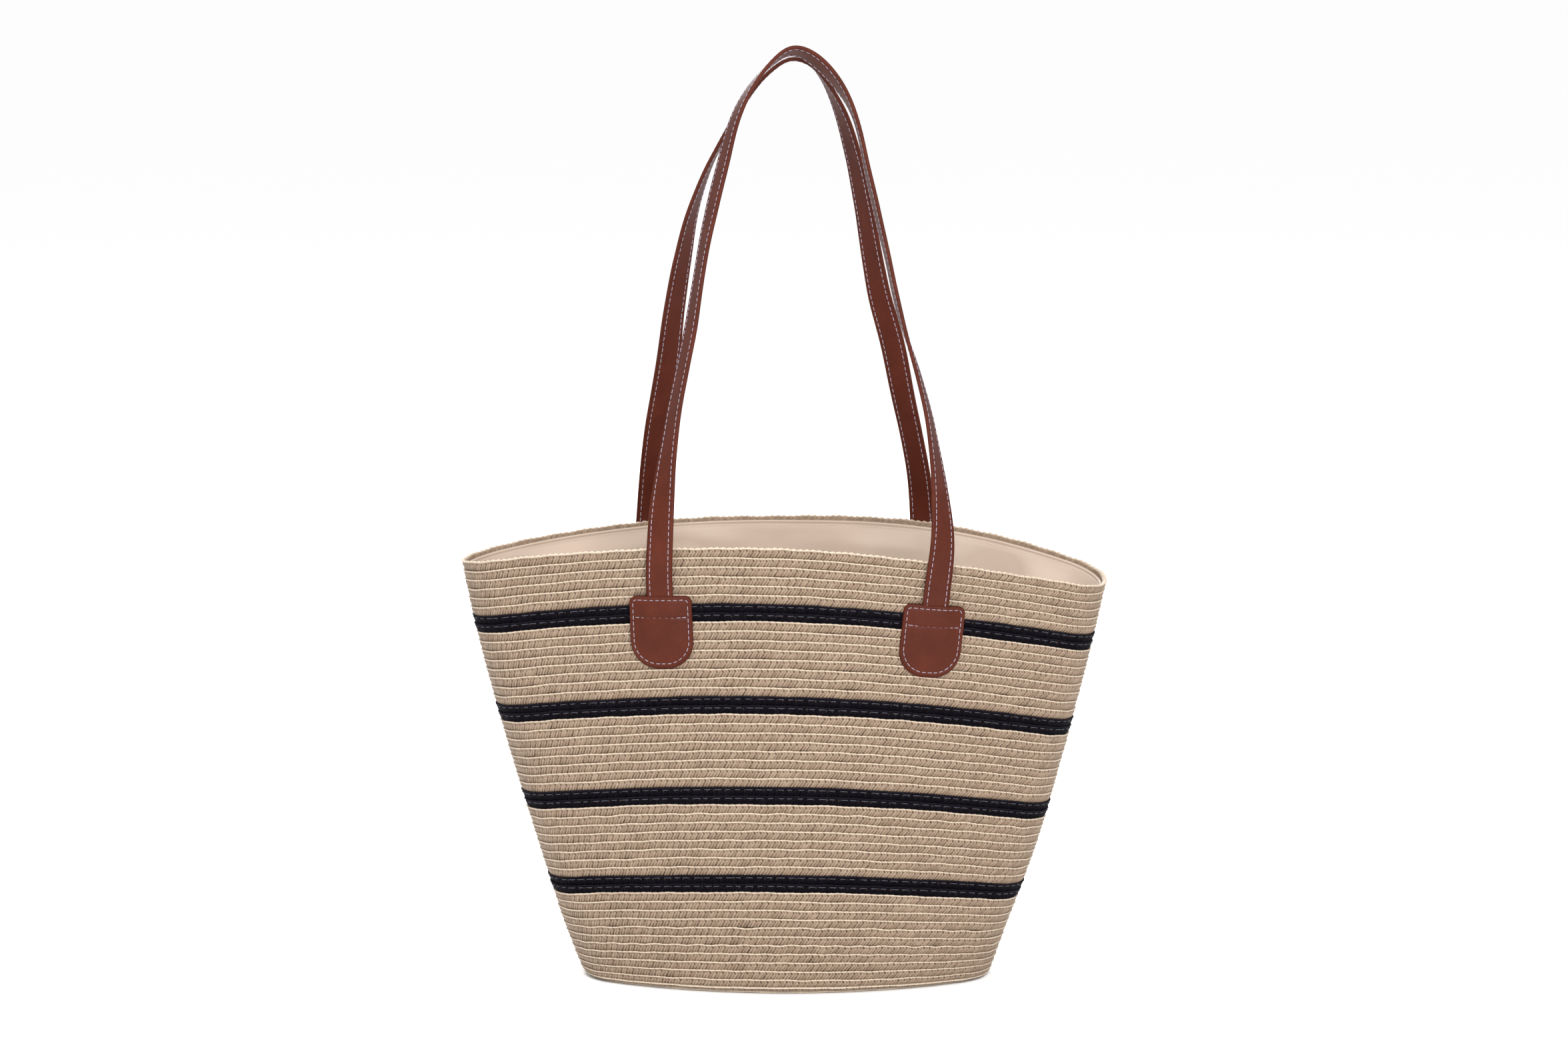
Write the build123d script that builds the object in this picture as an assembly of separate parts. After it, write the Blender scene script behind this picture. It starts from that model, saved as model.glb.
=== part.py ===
from build123d import *
import os
from math import cos, exp, pi, radians, sin, sqrt

# A straw beach bag that stands on its base, with its mouth open and its two
# shoulder handles held up so that they meet above the middle.
# Millimetres. Origin: middle of the base, on the ground. +X is to the right,
# +Z is up, and the front of the bag faces -Y.

os.makedirs("parts", exist_ok=True)

# ---------------------------------------------------------------- dimensions

# body of the bag
RIM_HEIGHT = 316.0             # rim above the ground, at the middle of the front
BASE_HALF_WIDTH = 143.5
MOUTH_HALF_WIDTH = 231.0
SIDE_BOW = 7.0                 # how far the sides bow out at half height
BASE_HALF_DEPTH = 67.0
MOUTH_HALF_DEPTH = 80.0
END_RADIUS = 40.0              # plan radius at the two narrow ends
BASE_CORNER = 8.0              # radius between the wall and the base
FORM_HEIGHTS = (80.0, 160.0, 240.0)
RIM_SPARE = 12.0               # the form is made too tall by this, then cut along the rim
SIDE_REACH = 20.0              # cutting sheets reach this far past the mouth ...
CUT_DEPTH = 150.0              # ... and this far to the front and back
BELOW_GROUND = 5.0

# rows of sewn braid, with levels at the middle of the front
STRIPE_TOPS = (277.2, 212.4, 148.8, 86.3)
STRIPE_HEIGHT = 12.3
LOW_DROOP = 13.0               # rows hang lower at the sides: near the base ...
LOW_DROOP_HEIGHT = 35.0
RIM_DROOP = 14.5               # ... and more towards the rim
RIM_LEAN = 7.5                 # the right side of the rim sits lower than the left
TWIST_START = 240.0            # above this the right end of the mouth is pulled out of true:
TWIST = 11.0                   # its front sags and its back rises
TWIST_LIFT = 1.4

# layers of the wall, as insets from the outer face
STRAW_THICKNESS = 3.0
HEM_OUTER = 3.1
HEM_INNER = 3.7
LINING_OUTER = 3.9
LINING_INNER = 4.7
POCKET_OUTER = 4.9
POCKET_INNER = 5.7
LINING_BELOW_RIM = 2.8
HEM_TURN = 14.0                # depth of the turned hem
SEAM_GAP = 0.4                 # between the two lining panels at the side seams
BASE_DISC_INSET = 12.0         # the flat oval that the wall is sewn to

# slip pocket on the back lining
POCKET_WIDTH = 190.0
POCKET_BOTTOM = 105.0
POCKET_TOP = 235.0

# magnetic snap
SNAP_HEIGHT = 278.0
SNAP_RADIUS = 9.0
SNAP_THICKNESS = 2.6
SNAP_POST_RADIUS = 2.4
SNAP_POST_LENGTH = 1.6
WASHER_THICKNESS = 0.5

# leather
STRAP_WIDTH = 18.6
STRAP_THICKNESS = 2.8
STRAP_END_LENGTH = 30.0        # sewn in under the tab
TAB_WIDTH = 43.5
TAB_HEIGHT = 50.0
TAB_LEATHER = 1.4
TAB_TOP_CORNER = 5.0
TAB_BOTTOM_CORNER = 19.0
BACKING_THICKNESS = 1.2
BACKING_DROP = 1.2             # the backing shows below the tab by this much
LEATHER_GAP = 0.1              # between leather layers
WALL_GAP = 0.2                 # between the backing and the straw
STRAP_RISE = 0.4               # gap between the tab's top edge and the moving strap
STRAP_FOOT = 10.0              # straight run of the moving strap above that
PIVOT_AHEAD = 2.4              # pivot in front of the strap's front face
APEX_OFFSET = 9.9              # each handle's centre line from the middle, at the apex

# tabs: middle of the top edge (x, z), and the roll seen from outside, degrees
TABS = {
    "front_left": (-86.5, 282.5, 1.5),
    "front_right": (101.5, 275.6, -5.4),
    "rear_left": (-99.0, 281.0, -1.0),
    "rear_right": (97.0, 277.0, 1.0),
}

# centre lines of the handles above the tabs: (x, z, turn), where turn is the
# angle in degrees from facing straight out of the bag to facing outward
FRONT_LEFT_LEG = [
    (-86.9, 315, 15), (-85.5, 341, 26), (-82.7, 368, 46), (-75.8, 414, 63), (-65.7, 465, 66),
    (-59.7, 503, 70), (-52.2, 541, 67), (-42.6, 580, 68), (-32.0, 614, 76), (-19.5, 634, 87),
    (-8.5, 645.5, 97),
]
FRONT_APEX = (3.8, 652.0, 108)
FRONT_RIGHT_LEG = [
    (16.6, 647.6, 117), (30.1, 635.4, 115), (44.6, 613, 99), (53.5, 580, 97), (62.4, 541, 100),
    (71.2, 503, 97), (77.3, 475, 97), (85.5, 447, 88), (95.0, 414, 80), (101.9, 377, 68),
    (105.5, 347, 50), (106.4, 316, 26),
]
REAR_RIGHT_LEG = [
    (97.4, 315, 18), (94.7, 346, 28), (87.3, 385, 32), (80.2, 418, 27), (74.4, 446, 25),
    (66.9, 473, 30), (61.2, 500, 38), (54.2, 541, 48), (46.0, 580, 56), (35.2, 614, 70),
    (25.4, 632.2, 84), (15.8, 642.4, 90),
]
REAR_APEX = (3.0, 646.1, 92)
REAR_LEFT_LEG = [
    (-8.2, 640.4, 92), (-18.2, 630.6, 90), (-30.9, 613, 88), (-49.8, 580, 84), (-65.3, 541, 70),
    (-74.2, 500, 50), (-79.2, 470, 41), (-85.2, 424, 27), (-91.8, 385, 20), (-95.5, 355, 14),
    (-98.9, 315, 12),
]

# -------------------------------------------------------------- body of the bag


def half_width(z):
    """Half width of the bag at height z, at the outer face."""
    share = z / RIM_HEIGHT
    straight = BASE_HALF_WIDTH + (MOUTH_HALF_WIDTH - BASE_HALF_WIDTH) * share
    return straight + 4 * SIDE_BOW * share * (1 - share)


def half_depth(z):
    """Half depth of the bag at height z, at the outer face."""
    return BASE_HALF_DEPTH + (MOUTH_HALF_DEPTH - BASE_HALF_DEPTH) * z / RIM_HEIGHT


def face_radius(z, inset=0.0):
    """Plan radius of the front and back faces, which run tangent into the ends."""
    a = half_width(z) - inset
    b = half_depth(z) - inset
    r = END_RADIUS - inset
    return ((a - r) ** 2 + b * b - r * r) / (2 * (b - r))


def oval(z, inset=0.0):
    """Closed outline of the bag at height z: two long arcs and two round ends."""
    a = half_width(z) - inset
    b = half_depth(z) - inset
    r = END_RADIUS - inset
    side = face_radius(z, inset)
    x = side * (a - r) / (side - r)
    y = (side - b) * r / (side - r)
    return Wire([
        ThreePointArc((-x, -y, z), (0, -b, z), (x, -y, z)),
        ThreePointArc((x, -y, z), (a, 0, z), (x, y, z)),
        ThreePointArc((x, y, z), (0, b, z), (-x, y, z)),
        ThreePointArc((-x, y, z), (-a, 0, z), (-x, -y, z)),
    ])


def bag_solid(inset):
    """The bag's whole outer form, moved inwards by inset on the sides and the base."""
    heights = [inset, *FORM_HEIGHTS, RIM_HEIGHT + RIM_SPARE]
    solid = Solid.make_loft([oval(z, inset) for z in heights])
    bottom = solid.faces().sort_by(Axis.Z)[0]
    return fillet(bottom.edges(), BASE_CORNER - inset)


def row_height(level, x, y):
    """Height at x, y of the braid row that crosses the middle of the front at level."""
    t = x / half_width(level)
    droop = LOW_DROOP * (1 - exp(-level / LOW_DROOP_HEIGHT)) + RIM_DROOP * level / RIM_HEIGHT
    lean = RIM_LEAN * (level / RIM_HEIGHT) ** 0.75
    twisted = max(0, (level - TWIST_START) / (RIM_HEIGHT - TWIST_START)) ** 1.5
    right = (t + sqrt(t * t + 0.01)) / 2
    twist = TWIST * right * y / MOUTH_HALF_DEPTH + TWIST_LIFT * sin(pi * right)
    return level - droop * t * t - lean * t + twisted * twist


def row_line(level, y, shift):
    """The row's line seen from the front, past both sides of the bag, in the plane at y."""
    reach = MOUTH_HALF_WIDTH + SIDE_REACH
    steps = (-1, -0.5, 0, 0.25, 0.5, 0.75, 1)
    return Spline([(reach * step, y, row_height(level, reach * step, y) + shift) for step in steps])


def ground_line(y):
    """A straight line under the whole bag, in the plane at y."""
    reach = MOUTH_HALF_WIDTH + SIDE_REACH
    return Line((-reach, y, -BELOW_GROUND), (reach, y, -BELOW_GROUND))


def curtain(low_level, high_level, low_shift=0.0, high_shift=0.0):
    """Everything between two rows, from front to back; a low_level of None is below ground."""
    ends = []
    for y in (-CUT_DEPTH, CUT_DEPTH):
        high = row_line(high_level, y, high_shift)
        low = ground_line(y) if low_level is None else row_line(low_level, y, low_shift)
        ends.append(Wire([low, Line(low @ 1, high @ 1), high, Line(high @ 0, low @ 0)]))
    return Solid.make_loft(ends, ruled=True)


def band_levels():
    """Names and levels of the bands of braid, from the rim down to the lowest stripe."""
    bands = []
    top = RIM_HEIGHT
    for number, stripe_top in enumerate(STRIPE_TOPS, 1):
        stripe_bottom = stripe_top - STRIPE_HEIGHT
        bands.append((f"natural_band_{number}", stripe_top, top))
        bands.append((f"black_stripe_{number}", stripe_bottom, stripe_top))
        top = stripe_bottom
    return bands, top


def base_disc(inset):
    """A low oval block inside the bottom corner, the shape of the flat base."""
    return extrude(Face(oval(0, inset)), amount=BASE_CORNER - 1, dir=(0, 0, 1))


def make_straw():
    """The braided body: an oval base and nine bands sewn one above the other."""
    shell = bag_solid(0) - bag_solid(STRAW_THICKNESS)
    disc = base_disc(BASE_DISC_INSET)
    bands, lowest = band_levels()
    pieces = {name: shell & curtain(low, high) for name, low, high in bands}
    lower = shell & curtain(None, lowest)
    pieces[f"natural_band_{len(STRIPE_TOPS) + 1}"] = lower - disc
    pieces["base_braid"] = lower & disc
    return pieces


# ---------------------------------------------------------------------- lining


def front_half():
    """The space on the front side of the side seams."""
    width = 2 * (MOUTH_HALF_WIDTH + SIDE_REACH)
    height = 2 * RIM_HEIGHT
    return Pos(0, -(CUT_DEPTH + SEAM_GAP) / 2, height / 2) * Box(width, CUT_DEPTH, height)


def make_lining():
    """Two cloth panels, an oval bottom, the turned hem and a slip pocket."""
    shell = bag_solid(LINING_OUTER) - bag_solid(LINING_INNER)
    disc = base_disc(BASE_DISC_INSET + 2)
    cloth = shell & curtain(None, RIM_HEIGHT, high_shift=-LINING_BELOW_RIM)
    panels = cloth - disc
    hem = bag_solid(HEM_OUTER) - bag_solid(HEM_INNER)
    hem_space = curtain(RIM_HEIGHT, RIM_HEIGHT, -LINING_BELOW_RIM - HEM_TURN, -LINING_BELOW_RIM)
    front = front_half()
    back = mirror(front, about=Plane.XZ)
    pocket = bag_solid(POCKET_OUTER) - bag_solid(POCKET_INNER)
    pocket_height = POCKET_TOP - POCKET_BOTTOM
    pocket_space = Box(POCKET_WIDTH, CUT_DEPTH, pocket_height)
    pocket_space = Pos(0, CUT_DEPTH / 2, POCKET_BOTTOM + pocket_height / 2) * pocket_space
    return {
        "lining_front": panels & front,
        "lining_back": panels & back,
        "lining_base": cloth & disc,
        "lining_hem": hem & hem_space,
        "slip_pocket": pocket & pocket_space,
    }


# ---------------------------------------------------------------- places on the wall


def wall_point(x, z, side, inset=0.0):
    """Point of the front (side -1) or rear (side 1) wall."""
    radius = face_radius(z, inset)
    y = sqrt(radius * radius - x * x) - (radius - half_depth(z) + inset)
    return Vector(x, side * y, z)


def wall_plane(x, z, side, inset=0.0, roll=0.0):
    """Plane on the wall: its normal points out of the bag and its Y runs up the wall."""
    step = 2.0
    here = wall_point(x, z, side, inset)
    across = wall_point(x + step, z, side, inset) - wall_point(x - step, z, side, inset)
    across = across * -side
    up = wall_point(x, z + step, side, inset) - wall_point(x, z - step, side, inset)
    normal = across.cross(up).normalized()
    across = across.normalized()
    rolled = across * cos(radians(roll)) + normal.cross(across) * sin(radians(roll))
    return Plane(origin=here, x_dir=rolled, z_dir=normal)


def make_snap():
    """Magnetic snap: a stud on the front lining, a socket on the back, a washer behind each."""
    pieces = {}
    for name, side in (("stud", -1), ("socket", 1)):
        plane = wall_plane(0, SNAP_HEIGHT, side, LINING_INNER + LEATHER_GAP)
        disc = extrude(plane * Circle(SNAP_RADIUS), amount=-SNAP_THICKNESS)
        post = Pos(0, 0, -SNAP_THICKNESS - SNAP_POST_LENGTH / 2)
        post = plane * post * Cylinder(SNAP_POST_RADIUS, SNAP_POST_LENGTH)
        if side < 0:
            pieces["snap_stud"] = disc + post
        else:
            dish = Pos(0, 0, -SNAP_THICKNESS + SNAP_POST_LENGTH / 2)
            dish = plane * dish * Cylinder(SNAP_POST_RADIUS + 0.3, SNAP_POST_LENGTH)
            pieces["snap_socket"] = disc - dish
        back = wall_plane(0, SNAP_HEIGHT, side, (STRAW_THICKNESS + LINING_OUTER) / 2)
        washer = extrude(back * Circle(SNAP_RADIUS), amount=WASHER_THICKNESS / 2, both=True)
        pieces[f"snap_{name}_washer"] = washer
    return pieces


# --------------------------------------------------------------------- leather


def tab_place(corner):
    """Plane of one tab: origin at the middle of its top edge, on the wall."""
    x, z, roll = TABS[corner]
    side = -1 if corner.startswith("front") else 1
    return wall_plane(x, z, side, roll=roll)


def tab_outline(drop=0.0):
    """D-shaped outline that hangs down from the origin: small top corners, large bottom ones."""
    sheet = Pos(0, -(TAB_HEIGHT + drop) / 2) * Rectangle(TAB_WIDTH, TAB_HEIGHT + drop)
    corners = sheet.vertices().sort_by(Axis.Y)
    sheet = fillet(corners[0:2], TAB_BOTTOM_CORNER)
    corners = sheet.vertices().group_by(Axis.Y)[-1]
    return fillet(corners, TAB_TOP_CORNER)


BACKING_TOP = WALL_GAP + BACKING_THICKNESS
STRAP_BACK = BACKING_TOP + LEATHER_GAP
STRAP_CENTRE = STRAP_BACK + STRAP_THICKNESS / 2
STRAP_FRONT = STRAP_BACK + STRAP_THICKNESS


def make_tab(corner):
    """One strap anchorage: backing, the strap's sewn end, and the tab moulded over it."""
    plane = tab_place(corner)
    backing = extrude(tab_outline(BACKING_DROP), amount=BACKING_THICKNESS)
    backing = Pos(0, 0, WALL_GAP) * backing
    end = Pos(0, -STRAP_END_LENGTH / 2, STRAP_CENTRE)
    end = end * Box(STRAP_WIDTH, STRAP_END_LENGTH, STRAP_THICKNESS)
    slot_width = STRAP_WIDTH + 4 * LEATHER_GAP
    slot_height = STRAP_END_LENGTH + 2 * LEATHER_GAP
    slot = Pos(0, 1 - slot_height / 2, STRAP_CENTRE)
    slot = slot * Box(slot_width, slot_height + 2, STRAP_THICKNESS + 2 * LEATHER_GAP)
    thickness = STRAP_THICKNESS + TAB_LEATHER + LEATHER_GAP
    tab = Pos(0, 0, STRAP_BACK) * extrude(tab_outline(), amount=thickness)
    return {
        f"{corner}_tab": plane * (tab - slot),
        f"{corner}_tab_backing": plane * backing,
        f"{corner}_strap_end": plane * end,
    }


def leg_points(leg, side, apex):
    """Points and turns of one leg: against the wall up to the rim, then straight to the apex."""
    rim = min(leg, key=lambda point: point[1])
    start = wall_point(rim[0], rim[1], side).Y + side * (STRAP_CENTRE + 0.6)
    finish = side * APEX_OFFSET
    points = []
    for x, z, turn in leg:
        share = (z - rim[1]) / (apex[1] - rim[1])
        points.append((Vector(x, start + (finish - start) * share, z), turn))
    return points


def strap_feet(corner, going_up):
    """Section planes of the short straight run where the moving strap meets its tab."""
    plane = tab_place(corner)
    along = plane.y_dir if going_up else plane.y_dir * -1
    heights = [STRAP_RISE, STRAP_RISE + STRAP_FOOT]
    places = [plane.from_local_coords(Vector(0, height, STRAP_CENTRE)) for height in heights]
    if not going_up:
        places.reverse()
    return [Plane(origin=place, x_dir=along.cross(plane.z_dir), z_dir=along) for place in places]


def make_handle(first_corner, first_leg, apex, last_leg, last_corner):
    """A flat strap that leaves one tab, turns edge-on to the apex and comes down to the other."""
    side = -1 if first_corner.startswith("front") else 1
    first_feet = strap_feet(first_corner, True)
    last_feet = strap_feet(last_corner, False)
    points = leg_points(first_leg, side, apex)
    points.append((Vector(apex[0], side * APEX_OFFSET, apex[1]), apex[2]))
    points += leg_points(last_leg, side, apex)
    places = [plane.origin for plane in first_feet]
    places += [place for place, turn in points]
    places += [plane.origin for plane in last_feet]
    line = Spline(places)
    outward = Vector(0, side, 0)
    planes = first_feet
    for place, turn in points:
        along = line.tangent_at(line.param_at_point(place))
        face = (outward - along * outward.dot(along)).normalized()
        beside = face.cross(along)
        normal = face * cos(radians(turn)) + beside * sin(radians(turn))
        planes.append(Plane(origin=place, x_dir=along.cross(normal), z_dir=along))
    planes += last_feet
    sections = [(plane * Rectangle(STRAP_WIDTH, STRAP_THICKNESS)).face().outer_wire() for plane in planes]
    strap = Solid.make_loft(sections)
    ideal = line.length * STRAP_WIDTH * STRAP_THICKNESS
    print(f"handle length {line.length:.0f}, volume {strap.volume / ideal:.3f} of the ideal")
    return strap


def print_pivot(left_corner, right_corner):
    """The line that each handle swings about, just ahead of the tops of its two tabs."""
    ends = []
    for corner in (left_corner, right_corner):
        plane = tab_place(corner)
        ahead = STRAP_FRONT + PIVOT_AHEAD
        ends.append(plane.from_local_coords(Vector(0, STRAP_RISE / 2, ahead)))
    middle = (ends[0] + ends[1]) * 0.5
    axis = (ends[1] - ends[0]).normalized()
    print(f"pivot of {left_corner} handle: {tuple(middle)} along {tuple(axis)}")


# ------------------------------------------------------------------------ write

pieces = make_straw()
pieces.update(make_lining())
pieces.update(make_snap())
for corner_name in TABS:
    pieces.update(make_tab(corner_name))
pieces["front_handle"] = make_handle(
    "front_left", FRONT_LEFT_LEG, FRONT_APEX, FRONT_RIGHT_LEG, "front_right")
pieces["rear_handle"] = make_handle(
    "rear_right", REAR_RIGHT_LEG, REAR_APEX, REAR_LEFT_LEG, "rear_left")
print_pivot("front_left", "front_right")
print_pivot("rear_left", "rear_right")

for name, piece in pieces.items():
    export_step(piece, f"parts/{name}.step")
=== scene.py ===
"""The looks of the straw beach bag: braid rows, cloth lining, stitched leather and thread.

The bag's form is worked out in millimetres, in the frame's own axes: +X to the right, +Z up, front
towards -Y, and the origin under the middle of the base. make_mesh turns it into metres.
"""
import math

import bpy
import numpy as np
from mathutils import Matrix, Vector


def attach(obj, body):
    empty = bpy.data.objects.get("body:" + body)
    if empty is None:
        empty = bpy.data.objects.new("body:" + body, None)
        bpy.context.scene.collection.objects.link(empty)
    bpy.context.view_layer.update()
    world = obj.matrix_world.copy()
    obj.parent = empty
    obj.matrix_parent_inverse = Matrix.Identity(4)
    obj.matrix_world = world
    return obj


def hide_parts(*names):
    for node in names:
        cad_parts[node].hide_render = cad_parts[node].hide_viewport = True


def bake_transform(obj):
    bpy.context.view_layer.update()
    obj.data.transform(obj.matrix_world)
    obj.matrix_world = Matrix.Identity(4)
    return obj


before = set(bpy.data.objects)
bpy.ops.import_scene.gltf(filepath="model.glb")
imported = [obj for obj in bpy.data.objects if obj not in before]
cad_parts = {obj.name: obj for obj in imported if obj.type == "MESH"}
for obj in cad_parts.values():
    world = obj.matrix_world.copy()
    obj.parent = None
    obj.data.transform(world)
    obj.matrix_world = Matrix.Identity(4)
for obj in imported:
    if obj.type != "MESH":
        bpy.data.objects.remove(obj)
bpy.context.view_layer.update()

BAG = "bag_body"

# body of the bag, in mm
RIM_HEIGHT = 316.0
BASE_HALF_WIDTH = 143.5
MOUTH_HALF_WIDTH = 231.0
SIDE_BOW = 7.0
BASE_HALF_DEPTH = 67.0
MOUTH_HALF_DEPTH = 80.0
END_RADIUS = 40.0
BASE_CORNER = 8.0
LOW_DROOP = 13.0
LOW_DROOP_HEIGHT = 35.0
RIM_DROOP = 14.5
RIM_LEAN = 7.5
TWIST_START = 240.0
TWIST = 11.0
TWIST_LIFT = 1.4

# braid
STRIPE_TOPS = (277.2, 212.4, 148.8, 86.3)
STRIPE_HEIGHT = 12.3
TOP_BAND_ROWS = 6
MIDDLE_BAND_ROWS = 8
STRIPE_ROWS = 2
LOW_ROW_PITCH = 6.3            # of the rows below the lowest stripe
ROWS = 59                      # in all, of which the last few lie flat under the base
ROWS_IN_WALL = 51
DISC_EDGE = -57.0              # the rows under the base end here, as wall() counts height
WALL_THICKNESS = 2.9
LOOP_PITCH = 4.4               # one loop of the braid along the row
LOOP_JITTER = 0.045            # as a share of a loop
SAMPLES_PER_LOOP = 10
UPPER_SLANT = 0.55             # how far the strands lean along the row for each mm down
LOWER_SLANT = 0.62
LOWER_SHIFT = 0.3              # of the lower strands along the row, as a share of a loop
GAP_DEPTH = 1.0                # of the gaps between strands, of the stiffer black ones, and of the holes
BLACK_GAP_DEPTH = 0.7
HOLE_DEPTH = 0.8
HOLE_DOWN = 2.1                # of the holes between the loops, below the row's top edge
HOLE_WIDTH = 0.42
HOLE_HEIGHT = 0.5
RIM_SCALLOP = 0.7              # how far the loops stand up from the rim, and from the other rows
ROW_SCALLOP = 0.22
LIP_HIGHLIGHT_DOWN = 0.8                 # the lip is the crest of a row, above this, painted lighter as a highlight
FOOT_SHADE_START = 4.8               # the foot is the lower edge of a row, painted darker as shade where it tucks behind the next row's lip
FOOT_SHADE_END = 7.0

# lining
LINING_INSET = 4.3
LINING_BELOW_RIM = 2.8
CLOTH_THICKNESS = 0.5
HEM_DEPTH = 3.2                # the folded hem shows as a narrow band
POCKET_HALF_WIDTH = 95.0
POCKET_BOTTOM = 105.0
POCKET_TOP = 235.0
POCKET_GAP = 4.4               # between the back lining and the pocket
FINE_LINING = 60.0             # the panels' mesh is finer down to this depth
PANEL_TUCK = 6.0               # how far the panels run on round the base's corner
PANEL_STARTS = {"lining_front": 0.7502, "lining_back": 0.2502}
PANEL_SPAN = 0.4996            # share of the way round, which leaves a narrow seam at each side
HEM_STITCH_PITCH = 3.0
HEM_STITCH_LENGTH = 2.4
HEM_STITCH_DOWN = 3.1

# dents in the loose lining: share of the way round, depth below the hem, width as a share,
# height, and how far they stand in
LINING_DENTS = (
    (0.347, 17, 0.018, 9, -3.0),
    (0.315, 24, 0.016, 8, 2.2),
    (0.565, 22, 0.03, 12, -2.4),
)

# leather
STRAP_WIDTH = 18.6
STRAP_THICKNESS = 2.8
TAB_WIDTH = 43.5
TAB_HEIGHT = 50.0
TAB_TOP_CORNER = 5.0
TAB_BOTTOM_CORNER = 19.0
TAB_LEATHER = 1.4
BACKING_THICKNESS = 1.2
BACKING_DROP = 1.2
WALL_GAP = 0.2
LEATHER_GAP = 0.1
STRAP_RISE = 0.4               # the strap leaves its tab this far above the tab's top edge
STRAP_FOOT = 10.0              # and goes straight up for this far
APEX_OFFSET = 9.9              # of each handle's top from the bag's middle plane
STRAP_EDGE = 1.25              # radius of the folded edges
STRAP_SPARE = 0.14             # the flat of each face lies this far inside the full thickness
STRAP_CROWN = 0.12
STRAP_GROOVE = 0.22            # depth of the grooves along the stitches
STRAP_RIPPLE = 0.03
STRAP_STEP = 1.3               # between the rings of a strap's mesh
BACKING_TOP = WALL_GAP + BACKING_THICKNESS
STRAP_CENTRE = BACKING_TOP + LEATHER_GAP + STRAP_THICKNESS / 2
SEWN_HEIGHTS = (-28, -14, STRAP_RISE, STRAP_RISE + STRAP_FOOT)    # up a tab, from its top edge
TAB_DOME = 0.5                 # how far a tab's face rises from its edge
STRAP_BULGE = 2.4              # how far the strap behind it lifts it
OUTLINE_GROOVE = 0.5           # how far its stitches pull it in, round it and across it
CROSS_GROOVE = 0.6
PLATE_RINGS = 44
OUTLINE_POINTS = 300

# thread
STITCH_PITCH = 4.15
STITCH_LENGTH = 3.5
THREAD_RADIUS = 0.28
STITCH_INSET = 2.9             # of the rows of stitches from the strap's edges
STITCH_SINK = 0.3              # of their line below the strap's full thickness
TAB_STITCH_INSET = 2.6
CROSS_STITCH_DROP = 14.8       # below the tab's top edge
SEAM_DOWN = 1.7                # seam thread of the black rows, below each row's top edge
SEAM_SINK = 0.15               # into the wall
SEAM_PITCH = 7.3
SEAM_STITCH = 5.2
SEAM_RADIUS = 0.24
HEM_THREAD_RADIUS = 0.14
STITCH_SIDES = 6
STITCH_RINGS = 7

# camera and light: places and sizes in metres
CAMERA_LENS = 98.33            # mm
CAMERA_DISTANCE = 3.0
CAMERA_PITCH = math.radians(8)
CAMERA_TARGET = Vector((-0.0019, 0, 0.323))
FLOOR_HALF = 60.0
LAMP_SIZE = 1.2
LAMP_TARGET = (0, 0, 0.3)

# tabs: middle of the top edge (x, z), and the roll seen from outside, degrees
TABS = {
    "front_left": (-86.5, 282.5, 1.5),
    "front_right": (101.5, 275.6, -5.4),
    "rear_left": (-99.0, 281.0, -1.0),
    "rear_right": (97.0, 277.0, 1.0),
}

# centre lines of the handles between their tabs: (x, z, turn), where turn is how many degrees
# the strap is twisted about its own line, from facing straight out of the wall
FRONT_ROUTE = [
    (-86.9, 315, 15), (-85.5, 341, 26), (-82.7, 368, 46), (-75.8, 414, 63), (-65.7, 465, 66),
    (-59.7, 503, 70), (-52.2, 541, 67), (-42.6, 580, 68), (-32.0, 614, 76), (-19.5, 634, 87),
    (-8.5, 645.5, 97), (3.8, 652.0, 108), (16.6, 647.6, 117), (30.1, 635.4, 115),
    (44.6, 613, 99), (53.5, 580, 97), (62.4, 541, 100), (71.2, 503, 97), (77.3, 475, 97),
    (85.5, 447, 88), (95.0, 414, 80), (101.9, 377, 68), (105.5, 347, 50), (106.4, 316, 26),
]
REAR_ROUTE = [
    (97.4, 315, 18), (94.7, 346, 28), (87.3, 385, 32), (80.2, 418, 27), (74.4, 446, 25),
    (66.9, 473, 30), (61.2, 500, 38), (54.2, 541, 48), (46.0, 580, 56), (35.2, 614, 70),
    (25.4, 632.2, 84), (15.8, 642.4, 90), (3.0, 646.1, 92), (-8.2, 640.4, 92), (-18.2, 630.6, 90),
    (-30.9, 613, 88), (-49.8, 580, 84), (-65.3, 541, 70), (-74.2, 500, 50), (-79.2, 470, 41),
    (-85.2, 424, 27), (-91.8, 385, 20), (-95.5, 355, 14), (-98.9, 315, 12),
]


# ------------------------------ form of the bag


def half_width(z):
    """Half width of the bag at height z."""
    share = z / RIM_HEIGHT
    straight = BASE_HALF_WIDTH + (MOUTH_HALF_WIDTH - BASE_HALF_WIDTH) * share
    return straight + 4 * SIDE_BOW * share * (1 - share)


def half_depth(z):
    """Half depth of the bag at height z."""
    return BASE_HALF_DEPTH + (MOUTH_HALF_DEPTH - BASE_HALF_DEPTH) * z / RIM_HEIGHT


def row_height(level, x, y):
    """Height at x, y of the braid row that crosses the middle of the front at level."""
    t = x / half_width(level)
    droop = LOW_DROOP * (1 - np.exp(-level / LOW_DROOP_HEIGHT)) + RIM_DROOP * level / RIM_HEIGHT
    lean = RIM_LEAN * (np.maximum(level, 0) / RIM_HEIGHT) ** 0.75
    twisted = np.maximum(0, (level - TWIST_START) / (RIM_HEIGHT - TWIST_START)) ** 1.5
    right = (t + np.sqrt(t * t + 0.01)) / 2
    twist = TWIST * right * y / MOUTH_HALF_DEPTH + TWIST_LIFT * np.sin(np.pi * right)
    return level - droop * t * t - lean * t + twisted * twist


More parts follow.
